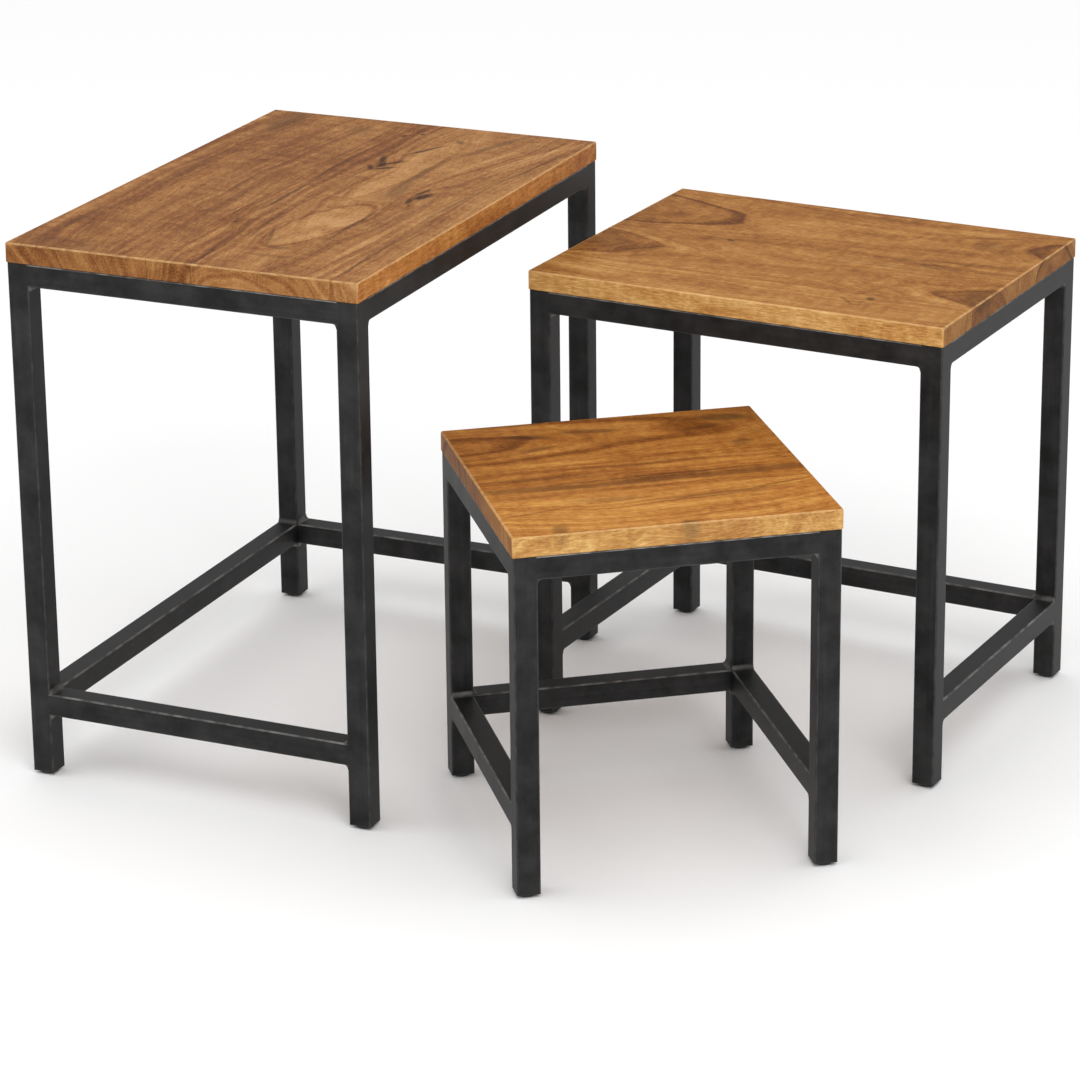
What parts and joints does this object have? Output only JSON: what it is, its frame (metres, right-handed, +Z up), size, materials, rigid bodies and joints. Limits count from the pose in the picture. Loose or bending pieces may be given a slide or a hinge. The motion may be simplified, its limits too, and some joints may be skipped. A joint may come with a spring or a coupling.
{
  "type": "nesting tables",
  "caption": "Nest of occasional tables with solid hardwood tops on welded square steel tube frames, each frame open on one side so that a smaller table goes in.",
  "frame": {"origin": "on the floor, under the middle of the plan of the tables as they stand apart at rest", "axes": "+Z up; +X along the large table's short side, from its left to its open side; +Y along its long side, away from the small table"},
  "size_m": [0.9474, 0.838, 0.6],
  "materials": {
    "top_wood": "satin lacquered sheesham, glued up from boards",
    "frame_steel": "blackened mild steel tube under clear satin lacquer",
    "weld_steel": "ground fillet weld, blackened and lacquered",
    "plug_nylon": "moulded black nylon",
    "foot_nylon": "moulded black nylon",
    "screw_zinc": "bright zinc plate"
  },
  "bodies": {
    "large_table": {"large_leg_front_left": "frame_steel", "large_leg_front_right": "frame_steel", "large_leg_back_left": "frame_steel", "large_leg_back_right": "frame_steel", "large_rail_front": "frame_steel", "large_rail_right": "frame_steel", "large_rail_back": "frame_steel", "large_rail_left": "frame_steel", "large_stretcher_front": "frame_steel", "large_stretcher_back": "frame_steel", "large_stretcher_left": "frame_steel", "large_weld_fillets": "weld_steel", "large_leg_plugs": "plug_nylon", "large_fixing_tabs": "frame_steel", "large_top_screws": "screw_zinc", "large_top_boards": "top_wood"},
    "medium_table": {"medium_leg_front_left": "frame_steel", "medium_leg_front_right": "frame_steel", "medium_leg_back_left": "frame_steel", "medium_leg_back_right": "frame_steel", "medium_rail_front": "frame_steel", "medium_rail_right": "frame_steel", "medium_rail_back": "frame_steel", "medium_rail_left": "frame_steel", "medium_stretcher_right": "frame_steel", "medium_stretcher_back": "frame_steel", "medium_stretcher_left": "frame_steel", "medium_weld_fillets": "weld_steel", "medium_leg_plugs": "plug_nylon", "medium_fixing_tabs": "frame_steel", "medium_top_screws": "screw_zinc", "medium_top_boards": "top_wood"},
    "small_table": {"small_leg_front_left": "frame_steel", "small_leg_front_right": "frame_steel", "small_leg_back_left": "frame_steel", "small_leg_back_right": "frame_steel", "small_rail_front": "frame_steel", "small_rail_right": "frame_steel", "small_rail_back": "frame_steel", "small_rail_left": "frame_steel", "small_stretcher_right": "frame_steel", "small_stretcher_back": "frame_steel", "small_stretcher_left": "frame_steel", "small_weld_fillets": "weld_steel", "small_leg_plugs": "plug_nylon", "small_fixing_tabs": "frame_steel", "small_top_screws": "screw_zinc", "small_top_boards": "top_wood"},
    "large_foot_front_left": {"large_foot_front_left": "foot_nylon"},
    "large_foot_front_right": {"large_foot_front_right": "foot_nylon"},
    "large_foot_back_left": {"large_foot_back_left": "foot_nylon"},
    "large_foot_back_right": {"large_foot_back_right": "foot_nylon"},
    "medium_foot_front_left": {"medium_foot_front_left": "foot_nylon"},
    "medium_foot_front_right": {"medium_foot_front_right": "foot_nylon"},
    "medium_foot_back_left": {"medium_foot_back_left": "foot_nylon"},
    "medium_foot_back_right": {"medium_foot_back_right": "foot_nylon"},
    "small_foot_front_left": {"small_foot_front_left": "foot_nylon"},
    "small_foot_front_right": {"small_foot_front_right": "foot_nylon"},
    "small_foot_back_left": {"small_foot_back_left": "foot_nylon"},
    "small_foot_back_right": {"small_foot_back_right": "foot_nylon"}
  },
  "joints": [
    {"name": "large_foot_front_left_screw", "type": "slide", "parent": "large_table", "child": "large_foot_front_left", "axis": [0, 0, -1], "range_m": [0, 0.008]},
    {"name": "large_foot_front_right_screw", "type": "slide", "parent": "large_table", "child": "large_foot_front_right", "axis": [0, 0, -1], "range_m": [0, 0.008]},
    {"name": "large_foot_back_left_screw", "type": "slide", "parent": "large_table", "child": "large_foot_back_left", "axis": [0, 0, -1], "range_m": [0, 0.008]},
    {"name": "large_foot_back_right_screw", "type": "slide", "parent": "large_table", "child": "large_foot_back_right", "axis": [0, 0, -1], "range_m": [0, 0.008]},
    {"name": "medium_table_glide", "type": "slide", "parent": "large_table", "child": "medium_table", "axis": [0.0732, 0.9973, 0], "range_m": [0, 0.3]},
    {"name": "medium_foot_front_left_screw", "type": "slide", "parent": "medium_table", "child": "medium_foot_front_left", "axis": [0, 0, -1], "range_m": [0, 0.008]},
    {"name": "medium_foot_front_right_screw", "type": "slide", "parent": "medium_table", "child": "medium_foot_front_right", "axis": [0, 0, -1], "range_m": [0, 0.008]},
    {"name": "medium_foot_back_left_screw", "type": "slide", "parent": "medium_table", "child": "medium_foot_back_left", "axis": [0, 0, -1], "range_m": [0, 0.008]},
    {"name": "medium_foot_back_right_screw", "type": "slide", "parent": "medium_table", "child": "medium_foot_back_right", "axis": [0, 0, -1], "range_m": [0, 0.008]},
    {"name": "small_table_glide", "type": "slide", "parent": "large_table", "child": "small_table", "axis": [-0.6004, 0.7997, 0], "range_m": [-0.3, 0.1]},
    {"name": "small_foot_front_left_screw", "type": "slide", "parent": "small_table", "child": "small_foot_front_left", "axis": [0, 0, -1], "range_m": [0, 0.008]},
    {"name": "small_foot_front_right_screw", "type": "slide", "parent": "small_table", "child": "small_foot_front_right", "axis": [0, 0, -1], "range_m": [0, 0.008]},
    {"name": "small_foot_back_left_screw", "type": "slide", "parent": "small_table", "child": "small_foot_back_left", "axis": [0, 0, -1], "range_m": [0, 0.008]},
    {"name": "small_foot_back_right_screw", "type": "slide", "parent": "small_table", "child": "small_foot_back_right", "axis": [0, 0, -1], "range_m": [0, 0.008]}
  ]
}
